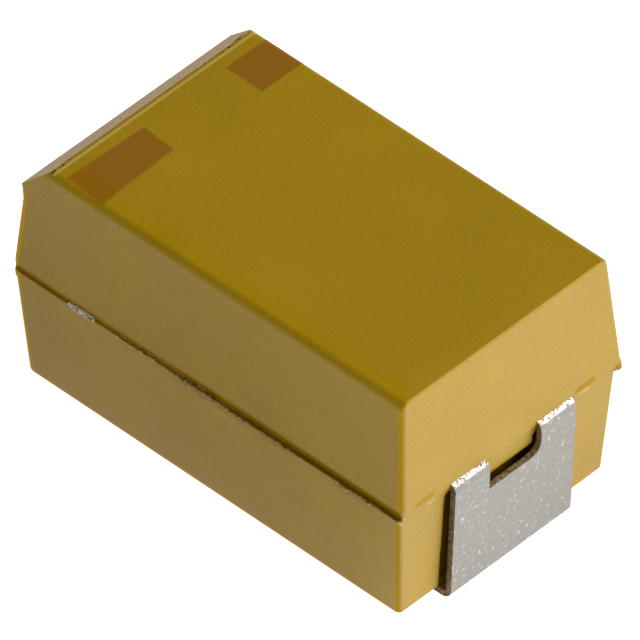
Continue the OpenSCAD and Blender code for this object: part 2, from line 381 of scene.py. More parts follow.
def finished_piece(piece, materials, edge_mm, replaced):
    """Drops unused points, turns faces outward, rounds sharp edges by edge_mm, and hands the piece to the
    frame in place of the CAD node it dresses."""
    shape = bmesh.new()
    shape.from_mesh(piece.data)
    bmesh.ops.remove_doubles(shape, verts=shape.verts, dist=1e-4 * MM)
    loose = [v for v in shape.verts if not v.link_faces]
    bmesh.ops.delete(shape, geom=loose, context="VERTS")
    bmesh.ops.recalc_face_normals(shape, faces=shape.faces)
    shape.to_mesh(piece.data)
    shape.free()
    for material in materials:
        piece.data.materials.append(material)
    if edge_mm:
        ease_edges = piece.modifiers.new("eased_edges", "BEVEL")
        ease_edges.width = edge_mm * MM
        ease_edges.segments = 2
        ease_edges.limit_method = "ANGLE"
        ease_edges.angle_limit = np.radians(50)
        ease_edges.harden_normals = False
    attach(piece, "root")
    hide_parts(replaced)


def tinned(name):
    """Matte tin on a rolled strip: dulled nearly all over, with small bright specks where the mottled
    plating shows, and crazed, with brown flecks, on the upper bend, where it was stretched; that bend is
    also painted near-white as a painted highlight."""
    made, add, link, shader = finish(name)
    place = in_millimetres(add, link)
    fine = noise(add, link, place, 14, detail=3.0, roughness=0.7)
    broad = noise(add, link, place, 2.6, detail=5.0, roughness=0.65)
    scuffs = noise(add, link, place, 15, detail=4.0, roughness=0.7)
    crazed = noise(add, link, place, 24, detail=3.0, roughness=0.75)
    height = add("SeparateXYZ")
    link(place, height.inputs["Vector"])
    stretched = add("MapRange", interpolation_type="SMOOTHSTEP")
    stretched.inputs["From Min"].default_value = CRAZED_FROM
    stretched.inputs["From Max"].default_value = CRAZED_FULL
    link(height.outputs["Z"], stretched.inputs["Value"])
    on_bend = stretched.outputs["Result"]

    colour = ramp(add, link, fine, 0.38, 0.60, TIN_DARK, TIN)
    worn = ramp(add, link, broad, 0.40, 0.64, (0, 0, 0), (0.45,) * 3)
    colour = blended(add, link, worn, colour, TIN_WORN)
    dulled = reckoned(add, link, "GREATER_THAN", scuffs, 0.40)
    colour = blended(add, link, dulled, colour, TIN_DULL)
    # The stretched bend is painted near-white and smoother, partly as a painted highlight.
    half_crazed = reckoned(add, link, "MULTIPLY", crazed, 0.5)
    opened_and_highlit = ramp(add, link, reckoned(add, link, "ADD", on_bend, half_crazed), 0.75, 1.0)
    colour = blended(add, link, opened_and_highlit, colour, TIN_STRETCHED_HIGHLIT)
    flecks = ramp(add, link, crazed, 0.485, 0.545)
    flecks = reckoned(add, link, "MULTIPLY", on_bend, flecks)
    colour = blended(add, link, flecks, colour, FLECK_BROWN)
    link(colour, shader.inputs["Base Color"])

    rough = reckoned(add, link, "ADD", reckoned(add, link, "MULTIPLY", fine, 0.25), 0.36)
    rough = reckoned(add, link, "SUBTRACT", rough, reckoned(add, link, "MULTIPLY", opened_and_highlit, 0.10))
    rough = reckoned(add, link, "ADD", rough, reckoned(add, link, "MULTIPLY", flecks, 0.4))
    link(rough, shader.inputs["Roughness"])
    link(reckoned(add, link, "SUBTRACT", 1.0, flecks), shader.inputs["Metallic"])
    crust = reckoned(add, link, "MULTIPLY", on_bend, reckoned(add, link, "MULTIPLY", crazed, 6.0))
    raised(add, link, shader, reckoned(add, link, "ADD", fine, crust), 0.0012, 0.5)
    return made


def torn_metal(name):
    """A fractured end of the strip: bright grains, with painted shade in the hollows between them."""
    made, add, link, shader = finish(name)
    place = in_millimetres(add, link)
    grain = noise(add, link, place, 24, detail=3.0, roughness=0.6)
    link(ramp(add, link, grain, 0.40, 0.56, TORN_HOLLOW_SHADE, TORN_TIN), shader.inputs["Base Color"])
    shader.inputs["Roughness"].default_value = 0.55
    shader.inputs["Metallic"].default_value = 0.25
    raised(add, link, shader, grain, 0.02)
    return made


def sheared(name):
    """A sheared edge of the strip: brown-grey bare core, streaked across its thickness."""
    made, add, link, shader = finish(name)
    place = in_millimetres(add, link)
    streaks = noise(add, link, place, 16, detail=4.0, roughness=0.6)
    link(ramp(add, link, streaks, 0.38, 0.60, CORE_BROWN, CORE_GREY), shader.inputs["Base Color"])
    shader.inputs["Roughness"].default_value = 0.7
    shader.inputs["Metallic"].default_value = 0.2
    raised(add, link, shader, streaks, 0.01)
    return made


tin = tinned("matte_tin")
bare_core = sheared("sheared_core")
fracture = torn_metal("torn_strip_end")
adhesive_low, adhesive_high = (np.array(v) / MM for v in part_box("cathode_adhesive"))
cathode_high = np.array(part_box("cathode_lead")[1]) / MM
anode_low, anode_high = (np.array(v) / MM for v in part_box("anode_lead"))
strip_z = cathode_high[2] - STRIP_T / 2
strip_out = cathode_high[0]
lean = np.radians(RISER_LEAN)
top_r = TOP_BEND_R + STRIP_T
foot_r = FOOT_BEND_R + STRIP_T
bend_x = strip_out - top_r
bend_z = strip_z + STRIP_T / 2 - top_r
riser_l = (bend_z - (top_r - foot_r) * np.sin(lean) - foot_r) / np.cos(lean)
foot_x = bend_x + (top_r - foot_r) * np.cos(lean) - riser_l * np.sin(lean)
outside_legs = [
    (riser_l, -90 + RISER_LEAN, FOOT_BEND_R + STRIP_T / 2),
    (foot_x - (strip_out - FOOT_L), 0, 0),
]
wall_x = adhesive_high[0]
joggle_mid = JOGGLE_R + STRIP_T / 2
tongue_z = adhesive_low[2] - STRIP_T / 2
tongue_x = adhesive_low[0] - 0.1
wall_l = strip_z - tongue_z - 2 * joggle_mid
shoulder_x = wall_x + JOGGLE_R + STRIP_T
cathode_points, cathode_normals = folded_path(
    (tongue_x, tongue_z), 0,
    [
        (wall_x - JOGGLE_R - tongue_x, 90, joggle_mid),
        (wall_l, -90, joggle_mid),
        (bend_x - shoulder_x, -90 - RISER_LEAN, TOP_BEND_R + STRIP_T / 2),
    ] + outside_legs,
    STRIP_STEP,
)
anode_points, anode_normals = folded_path(
    (-anode_high[0], strip_z), 0,
    [(bend_x + anode_high[0], -90 - RISER_LEAN, TOP_BEND_R + STRIP_T / 2)] + outside_legs,
    STRIP_STEP,
)


def with_row_at_floor(points, normals):
    """The same path with the row nearest the cut-out's floor, on the riser, moved exactly to the floor."""
    on_riser = points[:, 0] > strip_out - 2 * STRIP_T
    nearest = np.argmin(np.where(on_riser, abs(points[:, 1] - CUTOUT_FLOOR), 9))
    drop = (CUTOUT_FLOOR - points[nearest, 1]) / np.cos(lean)
    points[nearest] += drop * np.array([np.sin(lean), np.cos(lean)])
    return points, normals


cut_x = strip_out - CUTOUT_L
cathode_vertices, cathode_faces, cathode_kinds = strip_surface(
    *with_row_at_floor(cathode_points, cathode_normals), cut_x)
cathode = solid_mesh("cathode_strip", cathode_vertices, cathode_faces.tolist(), cathode_kinds)
finished_piece(cathode, [tin, bare_core], SHEARED_EDGE_R, "cathode_lead")

anode_vertices, anode_faces, anode_kinds = strip_surface(
    *with_row_at_floor(anode_points, anode_normals), cut_x)


def tie_bar_end():
    """The sheared end of the lead frame's tie bar: a bar from the strip's side out to the case's face, whose
    outer end is a ragged fracture made of two sizes of grit."""
    u, v = np.meshgrid(np.linspace(0, 1, 40), np.linspace(0, 1, 12))
    blunt = np.sqrt(1 - 0.85 * abs(2 * u - 1) ** 5)
    end_x = anode_high[0] - TIE_W * u
    end_z = strip_z + STRIP_T * (v - 0.5) * blunt
    inside = np.minimum(np.minimum(u, 1 - u), np.minimum(v, 1 - v)) > 0
    rough = grit(end_x, 0, end_z, 0.05, 5) + 0.6 * grit(end_x, 0, end_z, 0.022, 6)
    broken_y = anode_low[1] - 0.008 - TIE_ROUGHNESS * rough * inside
    outer = np.stack([end_x, broken_y, end_z - TIE_DROOP], axis=-1)
    root = outer.copy()
    root[..., 1] = -STRIP_W / 2 + 0.02
    root[..., 2] = end_z
    rows, across = u.shape
    index = np.arange(rows * across).reshape(rows, across)
    quads = np.stack([index[:-1, :-1], index[:-1, 1:], index[1:, 1:], index[1:, :-1]], axis=-1).reshape(-1, 4)
    ring = np.concatenate([index[0, :-1], index[:-1, -1], index[-1, :0:-1], index[:0:-1, 0]])
    after = np.roll(ring, -1)
    walls = np.stack([after, ring, ring + rows * across, after + rows * across], axis=-1)
    faces = np.concatenate([quads, quads[:, ::-1] + rows * across, walls])
    return np.concatenate([outer.reshape(-1, 3), root.reshape(-1, 3)]), faces


tie_vertices, tie_faces = tie_bar_end()
mirrored = anode_vertices * [-1, 1, 1]
anode = solid_mesh(
    "anode_strip",
    np.concatenate([mirrored, tie_vertices]),
    np.concatenate([anode_faces, tie_faces + len(mirrored)]).tolist(),
    np.concatenate([anode_kinds, np.full(len(tie_faces), 2)]),
)
finished_piece(anode, [tin, bare_core, fracture], SHEARED_EDGE_R, "anode_lead")


# ---- Case -------------------------------------------------------------------------------------
# Ochre epoxy moulded round everything in two half cavities, which leave drafted sides, a parting
# groove with blasted-off flash, and a bevel that marks the anode end beside two laser-etched marks.
CASE_L = 7.33
CASE_W = 4.31
PARTING = 2.08
LOWER_INSET = 0.04
END_DRAFT = np.tan(np.radians(4.1))
SIDE_DRAFT = np.tan(np.radians(4.6))
LOWER_DRAFT = np.tan(np.radians(3.85))
HALF_SHIFT = 0.024
CORNER_R = 0.13
SHARPEST_R = 0.01
TOP_EDGE_R = 0.12
BOTTOM_EDGE_R = 0.07
CATHODE_SHRINK = 0.022
CATHODE_CORNER_R = 0.075
CATHODE_CROWN_R = 0.035
BEVEL_L = 0.45
BEVEL_H = 0.465
BEVEL_EDGE_R = 0.1
SIDE_COLUMNS = 300
END_COLUMNS = 110
CORNER_COLUMNS = 10
UNDER_RINGS = 3
TOP_RINGS = 5
LIP_TOP = 2.10
GROOVE_FLOOR = 2.115
GROOVE_TOP = 2.22
GROOVE_RISE = 0.05
NEAR_DEPTH = 0.022
NEAR_DEEPENS_BY = 0.014
FAR_DEPTH = 0.05
CATHODE_DEPTH = 0.010
ANODE_DEPTH = 0.055
TORN_LIP_SPANS = ((-0.55, 0.8), (1.0, 1.6), (2.35, 3.3))
TORN_GROOVE_SPANS = ((-1.6, -0.85), (-0.5, 0.2))
PALE_RIM_SPAN = (-1.95, -0.75)
GRAIN_RISE = 0.026
GRAINS = ((0.075, 0.5, 11), (0.04, 0.7, 12), (0.028, 0.5, 13))
WAVE_RISE = 0.006
HANGING_FLASH = 0.085
THIN_FLASH = 0.018
NEAR_FLASH = 0.012
POCKET_DEPTH = 0.14
POCKET_TOP = 1.72
POCKET_TOP_BESIDE = 2.02
POCKET_SHIFT = 0.004
OCHRE = (0.56, 0.342, 0.0022)
OCHRE_DARK = (0.17, 0.088, 0.001)
# The brighter orange painted on the edges and the bevel as painted light.
OCHRE_PAINTED_LIGHT = (0.80, 0.42, 0.003)
# The near-black brown painted in holes as painted shade.
HOLE_SHADE = (0.085, 0.044, 0.0005)
# The brown painted in the groove and the pocket as painted shade.
GROOVE_SHADE_BROWN = (0.25, 0.137, 0.001)
FRESH_BREAK = (0.80, 0.62, 0.33)
ETCHED_BROWN = (0.39, 0.163, 0.002)
ETCHED_SPECK = (0.37, 0.165, 0.02)
# The warm pale painted on the bevel's top edge as a painted highlight.
BEVEL_HIGHLIGHT = (0.80, 0.55, 0.12)
SCAR_ORANGE = (0.50, 0.272, 0.002)
SCAR_PALE = (0.82, 0.66, 0.42)
NEAR_MARK = (-2.485, -1.31)
NEAR_MARK_HALF = (0.345, 0.735)
NEAR_MARK_TAPER = 0.115
NEAR_MARK_WIDTH_AT_0 = 1.133
NEAR_MARK_SKEW = 0.06
FAR_MARK = (-2.46, 1.98)
FAR_MARK_HALF = (0.36, 0.82)
BEVEL_STRIP_X = -3.055
BEVEL_LINE_X = -3.005
GOUGE = (-3.11, -5.09)
GOUGE_HALF = (0.045, 0.10)
GOUGE_SLANT = 2.2
# Each scar on the cathode end: where it is across and up, then half its length and half its height.
ORANGE_SCARS = (
    (1.44, 2.20, 0.22, 0.07), (-1.67, 2.23, 0.20, 0.06), (1.80, 2.16, 0.05, 0.045), (0.05, 2.17, 0.12, 0.035),
)
PALE_FLAKES = ((1.46, 2.065, 0.12, 0.04), (-1.53, 2.08, 0.09, 0.045))

case_low, case_high = (np.array(v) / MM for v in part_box("case"))
case_under, case_top = case_low[2], case_high[2]


def ring_columns():
    """One lap round a rounded rectangle, anticlockwise from the -Y side of the +X end. A column has its share
    of the length and of the width between corner centres, and its outward direction."""
    lap = []
    side = np.linspace(0, 1, SIDE_COLUMNS, endpoint=False)[1:]
    end = np.linspace(0, 1, END_COLUMNS, endpoint=False)[1:]
    turn = np.linspace(0, np.pi / 2, CORNER_COLUMNS)
    legs = ((1, 0, -90, end), (1, 1, 0, side), (0, 1, 90, end), (0, 0, 180, side))
    for corner_x, corner_y, start, straight in legs:
        angle = np.radians(start) + turn
        one = np.ones_like(angle)
        lap.append(np.stack([corner_x * one, corner_y * one, np.cos(angle), np.sin(angle)]))
        out = np.radians(start + 90)
        one = np.ones_like(straight)
        run_x = {0: corner_x * one, 90: 1 - straight, 180: corner_x * one, 270: straight}[start + 90]
        run_y = {0: straight, 90: corner_y * one, 180: 1 - straight, 270: corner_y * one}[start + 90]
        lap.append(np.stack([run_x, run_y, np.cos(out) * one, np.sin(out) * one]))
    return np.concatenate(lap, axis=1)


def case_rows():
    """The heights of the rings from the underside to the top, and how far each edge rounding pulls them in:
    close together through the groove and the roundings, wide apart on the plain faces."""
    foot = np.radians(np.linspace(-90, 0, 7))
    crown = np.radians(np.linspace(0, 90, 15))
    heights = np.concatenate([
        case_under + BOTTOM_EDGE_R * (1 + np.sin(foot)),
        np.linspace(case_under + 0.12, 1.80, 7),
        np.linspace(1.84, 2.06, 14),
        np.linspace(2.07, 2.14, 14),
        np.linspace(2.15, 2.33, 16),
        np.linspace(2.40, case_top - BEVEL_H - 0.04, 6),
        np.linspace(case_top - BEVEL_H, case_top - TOP_EDGE_R - 0.02, 9),
        case_top - TOP_EDGE_R * (1 - np.sin(crown)),
    ])
    foot_pull = BOTTOM_EDGE_R * (1 - np.cos(foot))
    crown_pull = TOP_EDGE_R * (1 - np.cos(crown))
    pull = np.zeros_like(heights)
    pull[:len(foot)] = foot_pull
    pull[-len(crown):] = crown_pull
    return heights, pull


def bevel_x(height):
    """Where the bevel stands at each height: the plane between its two edges, rounded into the top by an arc
    of BEVEL_EDGE_R and blended into the drafted end below."""
    end_x = CASE_L / 2 - (height - PARTING) * END_DRAFT
    foot_z = case_top - BEVEL_H
    foot_x = CASE_L / 2 - (foot_z - PARTING) * END_DRAFT
    top_x = CASE_L / 2 - (case_top - PARTING) * END_DRAFT - BEVEL_L
    plane_x = foot_x + (top_x - foot_x) * (height - foot_z) / BEVEL_H
    tilt = np.arctan2(BEVEL_H, foot_x - top_x)
    reach = BEVEL_EDGE_R * np.tan(tilt / 2)
    arc_z = case_top - BEVEL_EDGE_R
    start_z = case_top - reach * np.sin(tilt)
    rise = np.clip(height - arc_z, 0, BEVEL_EDGE_R)
    round_x = top_x - reach + np.sqrt(np.maximum(BEVEL_EDGE_R**2 - rise**2, 0))
    cut_x = np.where(height > start_z, round_x, plane_x)
    return -np.minimum(end_x, cut_x)


def between(value, start, full, fading, end):
    """0 up to start, 1 from full to fading, and 0 again from end, over smooth steps."""
    return ease(value, start, full) * (1 - ease(value, fading, end))


share_x, share_y, out_x, out_y = ring_columns()
height, pull = case_rows()
upper = ease(height, LIP_TOP, GROOVE_FLOOR)
above = height - PARTING
half_x = np.where(above > 0, CASE_L / 2 - above * END_DRAFT, CASE_L / 2 + above * LOWER_DRAFT)
half_y = np.where(above > 0, CASE_W / 2 - above * SIDE_DRAFT, CASE_W / 2 + above * LOWER_DRAFT)
half_x = half_x - (1 - upper) * LOWER_INSET - pull
half_y = half_y - (1 - upper) * LOWER_INSET - pull
shift = HALF_SHIFT * (2 * upper - 1)

# The cathode end: its crown and its corners are rounded less than the others.
on_crown = height > case_top - TOP_EDGE_R
crown_rise = np.clip(height - case_top + CATHODE_CROWN_R, 0, CATHODE_CROWN_R)
crown_pull = CATHODE_CROWN_R - np.sqrt(CATHODE_CROWN_R**2 - crown_rise**2)
high_x = half_x - CATHODE_SHRINK + on_crown * pull - crown_pull
corner_high = np.maximum(CATHODE_CORNER_R - 0.5 * pull, SHARPEST_R)

# The anode end: the bevel cuts its top, and its corners grow sharp there.
in_bevel = ease(height, case_top - BEVEL_H - 0.16, case_top - BEVEL_H + 0.01)
low_x = np.maximum(-half_x, np.where(height > case_top - BEVEL_H - 0.05, bevel_x(height), -CASE_L))
corner_low = np.minimum(np.maximum(CORNER_R - pull, SHARPEST_R), CORNER_R * (1 - in_bevel) + 0.012)
corner = corner_low[:, None] * (1 - share_x) + corner_high[:, None] * share_x
case_x = (low_x + corner_low)[:, None] * (1 - share_x) + (high_x - corner_high)[:, None] * share_x
case_x = case_x + corner * out_x
case_y = (corner - half_y[:, None]) * (1 - share_y) + (half_y[:, None] - corner) * share_y
case_y = shift[:, None] + case_y + corner * out_y
case_z = np.repeat(height[:, None], len(share_x), axis=1)

# The groove: the upper half rolls in to its floor, and the lower half's lip stands up in front of it.
groove_top = GROOVE_TOP + GROOVE_RISE * ease(case_x, -2.2, 0.8)
floor_share = np.clip((case_z - GROOVE_FLOOR) / (groove_top - GROOVE_FLOOR), 0, 1)
groove = np.where(case_z > GROOVE_FLOOR, (1 - floor_share) ** 1.5, ease(case_z, LIP_TOP, GROOVE_FLOOR))
on_near = np.where(out_x > 0, ease(-out_y, 0.70, 0.86), ease(-out_y, 0.35, 0.7))
on_far = ease(out_y, 0.5, 0.9)
on_anode_end = ease(-out_x, 0.5, 0.9)
on_end = ease(out_x, 0.5, 0.9)
at_far_corner = ease(case_x, 3.1, 3.4) * ease(out_y, 0.1, 0.6)
to_cathode = ease(case_x, -1.2, 1.4)
depth = (NEAR_DEPTH + NEAR_DEEPENS_BY * to_cathode) * on_near + FAR_DEPTH * on_far * (1 - at_far_corner)
depth = depth + CATHODE_DEPTH * on_end + ANODE_DEPTH * on_anode_end


def clusters(*spans):
    """1 inside each span along the length and 0 outside, over ends that fade."""
    return sum(between(case_x, start - 0.12, start + 0.12, end - 0.15, end + 0.15) for start, end in spans)


# Where flash was knocked off it left grains and pits in clusters, inside the groove and on the lip below.
# over_lip counts heights from the lip's top.
over_lip = case_z - LIP_TOP
on_lip = between(over_lip, -0.14, -0.06, -0.005, 0.005)
in_groove = between(over_lip, -0.01, 0.01, 0.04, 0.11)
torn_lip = 0.25 * clusters((-1.9, 3.3)) + 0.75 * clusters(*TORN_LIP_SPANS)
torn_groove = 0.15 + 0.85 * clusters(*TORN_GROOVE_SPANS)
torn = on_near * (on_lip * torn_lip + in_groove * torn_groove)
torn = torn + on_lip * (0.5 * on_far + 0.1 * on_end + 0.4 * on_anode_end)
grains = sum(weight * grit(case_x, case_y, case_z, size, seed) for size, weight, seed in GRAINS)

# Painted shade lies in the groove, darker towards the cathode end on the near side; the lip is rubbed bare
# along one stretch and at the cathode end's near corner.
band = between(over_lip, -0.03, 0, groove_top - LIP_TOP - 0.10, groove_top - LIP_TOP + 0.03)
near_groove_shade = on_near * (0.62 + 0.38 * to_cathode + 0.2 * torn_groove)
groove_and_pocket_shade = band * (near_groove_shade + 0.8 * on_far + 0.5 * on_anode_end)
bare_rim = on_near * between(over_lip, -0.04, -0.015, 0, 0.006)
bare_rim = bare_rim * (0.10 + 0.55 * clusters(PALE_RIM_SPAN))
at_near_corner = ease(out_x, 0.35, 0.6) * ease(-out_y, 0.1, 0.3)
bare_rim = bare_rim + 0.9 * at_near_corner * between(over_lip, -0.12, -0.06, 0.10, 0.18)

# Along the upright edges, the bottom edge and the crown a brighter orange is painted on, as painted light
# that stands in for how the lamps fall on these edges, with less gloss. The bevel gets the same painted
# light, but keeps its gloss.
from_cathode = high_x[:, None] - case_x
from_anode = case_x - low_x[:, None]
upright = (1 - ease(from_cathode, 0.065, 0.11)) * ease(-out_y, 0.6, 0.8)
upright = upright * (0.3 + 0.3 * ease(over_lip, 0, 0.05))
upright = upright + (1 - ease(from_anode, 0.11, 0.17)) * ease(-out_y, 0.3, 0.6) * (1 - in_bevel[:, None])
low_edge = 1 - ease(case_z, case_under + 0.02, case_under + 0.07)
crown_share = ease(case_z, case_top - TOP_EDGE_R, case_top - 0.7 * TOP_EDGE_R)
painted_light_tint = np.clip(upright * (1 - crown_share) + 0.6 * low_edge, 0, 1)
at_corner = 0.8 * ease(out_x, 0.05, 0.2) * ease(-out_y, 0.5, 0.75)
dulled = np.clip(painted_light_tint + at_corner + 0.8 * crown_share * on_near + band * on_near, 0, 1)
under_top = 1 - ease(case_z, case_top - 0.03, case_top - 0.012)
painted_light_tint = np.clip(painted_light_tint + 0.9 * in_bevel[:, None] * ease(-out_x, 0.5, 0.9) * under_top, 0, 1)

# Behind the riser the end stands back in a pocket, and the pocket is painted dark as well, painted shade that
# makes a dark slit show beside the riser and inside its cut-out.
beside_cutout = ease(abs(case_y), 0.42, 0.52)
pocket_top = POCKET_TOP + (POCKET_TOP_BESIDE - POCKET_TOP) * beside_cutout
pocket = on_end * (1 - ease(abs(case_y + POCKET_SHIFT), STRIP_W / 2 - 0.01, STRIP_W / 2 + 0.08))
pocket = pocket * between(case_z, case_under + 0.005, case_under + 0.035, pocket_top - 0.08, pocket_top)
# The pocket's painted shade joins the groove's.
groove_and_pocket_shade = np.clip(groove_and_pocket_shade + pocket**2, 0, 1)

# What is left of the flash: a tongue that hangs at the far corner of the cathode end, and thin rims.
wave = WAVE_RISE * grit(case_x, case_y, 0, 0.45, 14) * between(over_lip, -0.2, -0.1, 0.1, 0.2)
at_anode_corner = ease(-out_x, 0.2, 0.6) * ease(-out_y, 0.2, 0.6)
hanging = HANGING_FLASH * between(over_lip, -0.07, -0.05, 0, 0.015)
flash = at_far_corner * (hanging + THIN_FLASH * between(over_lip, -0.07, -0.02, 0.02, 0.12))
flash = flash + THIN_FLASH * at_anode_corner * between(over_lip, -0.16, -0.11, -0.05, -0.01)
flash = flash + NEAR_FLASH * at_near_corner * between(over_lip, -0.10, -0.06, -0.02, 0.02)
out = GRAIN_RISE * torn * grains + wave + flash - depth * groove - POCKET_DEPTH * pocket
case_x = case_x + out * out_x
case_y = case_y + out * out_y
rings, lap = case_x.shape
walls = np.stack([case_x, case_y, case_z], axis=-1)


def cap(ring, steps):
    """Closes a ring with narrowing rings down to a ridge along the middle of its length."""
    low_end, high_end = ring[:, 0].min(), ring[:, 0].max()
    middle_y = (ring[:, 1].min() + ring[:, 1].max()) / 2
    half_width = (ring[:, 1].max() - ring[:, 1].min()) / 2
    ridge = ring.copy()
    ridge[:, 0] = np.clip(low_end + half_width + (high_end - low_end - 2 * half_width) * share_x,
                          low_end + half_width, high_end - half_width)
    ridge[:, 1] = middle_y
    share = np.linspace(0, 1, steps + 1)[1:, None, None]
    return ring + (ridge - ring) * share


all_rings = np.concatenate([cap(walls[0], UNDER_RINGS)[::-1], walls, cap(walls[-1], TOP_RINGS)])
index = np.arange(len(all_rings) * lap).reshape(len(all_rings), lap)
after = np.roll(index, -1, axis=1)
case_faces = np.stack([index[:-1], after[:-1], after[1:], index[1:]], axis=-1).reshape(-1, 4)
case_body = solid_mesh("moulded_case", all_rings.reshape(-1, 3), case_faces.tolist())


def paint(name, values):
    """Stores a share from 0 to 1 at each point of the walls, and 0 on the two caps, for the material."""
    padded = np.zeros((len(all_rings), lap))
    padded[UNDER_RINGS:UNDER_RINGS + rings] = values
    case_body.data.attributes.new(name, "FLOAT", "POINT").data.foreach_set("value", padded.ravel())


paint("torn", torn)
paint("painted_shade", groove_and_pocket_shade)
paint("bare", bare_rim)
paint("painted_light_tint", painted_light_tint)
paint("dulled", dulled)


def box_field(add, link, axes, centre, half, soft, wobble):
    """1 inside a box given by its centre and half sizes and 0 outside, over a soft edge that a noise value
    makes ragged. Axes that aren't given have no bounds."""
    inside = None
    for axis, middle, reach in zip(axes, centre, half):
        away = reckoned(add, link, "ABSOLUTE", reckoned(add, link, "SUBTRACT", axis, middle), 0)
        away = reckoned(add, link, "ADD", away, wobble)
        edge = reckoned(add, link, "DIVIDE", reckoned(add, link, "SUBTRACT", reach, away), soft, clamp=True)
        inside = edge if inside is None else reckoned(add, link, "MULTIPLY", inside, edge)
    return inside


def moulded_epoxy():
    """Filled ochre epoxy: a fine satin grain with slow changes of shade; etched marks on top; painted light
    on the edges; painted shade in the groove, the pocket, the torn hollows and the bevel's holes; a painted
    highlight along the bevel's top edge; and paler fresh breaks on the torn lip."""
    made, add, link, shader = finish("ochre_epoxy")
    place = in_millimetres(add, link)
    apart = add("SeparateXYZ")
    link(place, apart.inputs["Vector"])
    x, y, z = apart.outputs

    def times(first, second):
        return reckoned(add, link, "MULTIPLY", first, second)

    def plus(first, second, clamp=False):
        return reckoned(add, link, "ADD", first, second, clamp=clamp)

    def painted(name):
        return add("Attribute", attribute_name=name).outputs["Fac"]

    # The ground colour, and the painted light along the edges.
    shade = noise(add, link, place, 0.8, detail=2.0)
    grain = noise(add, link, place, 32, detail=3.0, roughness=0.6)
    specks = noise(add, link, place, 45, detail=2.0)
    colour = ramp(add, link, shade, 0.3, 0.7, tuple(0.95 * c for c in OCHRE), tuple(1.04 * c for c in OCHRE))
    dark_grain = ramp(add, link, grain, 0.34, 0.66, (0, 0, 0), (0.24,) * 3)
    colour = blended(add, link, dark_grain, colour, OCHRE_DARK)
    colour = blended(add, link, painted("painted_light_tint"), colour, OCHRE_PAINTED_LIGHT)

    # The two etched marks: the near one is skewed and narrows along its length.
    wobble = times(reckoned(add, link, "SUBTRACT", specks, 0.5), 0.09)
    taper = plus(times(y, NEAR_MARK_TAPER), NEAR_MARK_WIDTH_AT_0)
    tapered_x = times(plus(x, -NEAR_MARK[0]), taper)
    skewed_y = plus(y, times(x, NEAR_MARK_SKEW))
    near_mark = box_field(add, link, (tapered_x, skewed_y), (0, NEAR_MARK[1]), NEAR_MARK_HALF, 0.04, wobble)
    far_mark = box_field(add, link, (x, y), FAR_MARK, FAR_MARK_HALF, 0.03, wobble)
    on_top = reckoned(add, link, "GREATER_THAN", z, case_top - 0.30)
    marks = times(plus(near_mark, far_mark, clamp=True), on_top)
    etched = noise(add, link, place, 48, detail=1.0)
    etched = ramp(add, link, etched, 0.40, 0.62, ETCHED_BROWN, ETCHED_SPECK)
    flecked = times(marks, ramp(add, link, specks, 0.25, 0.42, (0.8,) * 3))
    colour = blended(add, link, flecked, colour, etched)

    # Along the bevel's top edge: a pale line painted on as a painted highlight, and small holes near its ends
    # and a gouge, painted dark as painted shade.
    at_top_edge = reckoned(add, link, "GREATER_THAN", z, case_top - 0.03)
    thin = times(wobble, 0.25)
    edge_strip = box_field(add, link, (x,), (BEVEL_STRIP_X,), (0.030,), 0.015, thin)
    painted_highlight_line = box_field(add, link, (x,), (BEVEL_LINE_X,), (0.034,), 0.024, thin)
    near_end = box_field(add, link, (y,), (-1.70,), (0.27,), 0.1, 0.0)
    far_end = box_field(add, link, (y,), (1.45,), (0.25,), 0.2, 0.0)
    at_ends = plus(times(plus(near_end, far_end, clamp=True), 0.9), 0.1)
    shaded_holes = ramp(add, link, noise(add, link, place, 13, detail=1.0), 0.54, 0.60)
    shaded_holes = times(times(edge_strip, at_ends), shaded_holes)
    slanted_y = plus(y, times(x, GOUGE_SLANT))
    gouge = box_field(add, link, (x, slanted_y), GOUGE, GOUGE_HALF, 0.03, wobble)
    shaded_holes = plus(shaded_holes, gouge, clamp=True)
    cathode_top_x = CASE_L / 2 - (case_top - PARTING) * END_DRAFT - CATHODE_SHRINK
    cathode_rim = box_field(add, link, (x,), (cathode_top_x,), (0.045,), 0.03, thin)
    # A faint painted light tint along the cathode end's top edge too.
    colour = blended(add, link, times(cathode_rim, times(at_top_edge, 0.12)), colour, OCHRE_PAINTED_LIGHT)
    # The painted highlight along the bevel's top edge.
    colour = blended(add, link, times(painted_highlight_line, times(at_top_edge, 0.8)), colour, BEVEL_HIGHLIGHT)
    # The holes and the gouge painted dark, as painted shade.
    colour = blended(add, link, shaded_holes, colour, HOLE_SHADE)

    # Scars and flakes that the broken flash left on the cathode end.
    on_cathode_end = reckoned(add, link, "GREATER_THAN", x, case_high[0] - 0.15)
    scarred = 0.0
    for scar_colour, scars in ((SCAR_ORANGE, ORANGE_SCARS), (SCAR_PALE, PALE_FLAKES)):
        for across, up, half_across, half_up in scars:
            scar = box_field(add, link, (y, z), (across, up), (half_across, half_up), 0.05, wobble)
            scar = times(scar, on_cathode_end)
            colour = blended(add, link, scar, colour, scar_colour)
            scarred = plus(scarred, scar, clamp=True)

    # The painted shade in the groove and the pocket, the painted shade in the hollows and the pale chips of
    # the torn stretches, and the bare rim.
    painted_shade, torn_share = painted("painted_shade"), painted("torn")
    bits = noise(add, link, place, 26, detail=2.0)
    shaded_hollows = times(torn_share, reckoned(add, link, "GREATER_THAN", bits, 0.50))
    chips = times(torn_share, ramp(add, link, bits, 0.54, 0.62, (0, 0, 0), (0.45,) * 3))
    rubbed = times(painted("bare"), ramp(add, link, bits, 0.42, 0.60))
    colour = blended(add, link, painted_shade, colour, GROOVE_SHADE_BROWN)
    # Painted shade in the hollows of the torn stretches.
    colour = blended(add, link, times(shaded_hollows, 0.8), colour, OCHRE_DARK)
    colour = blended(add, link, plus(chips, rubbed, clamp=True), colour, FRESH_BREAK)
    link(colour, shader.inputs["Base Color"])

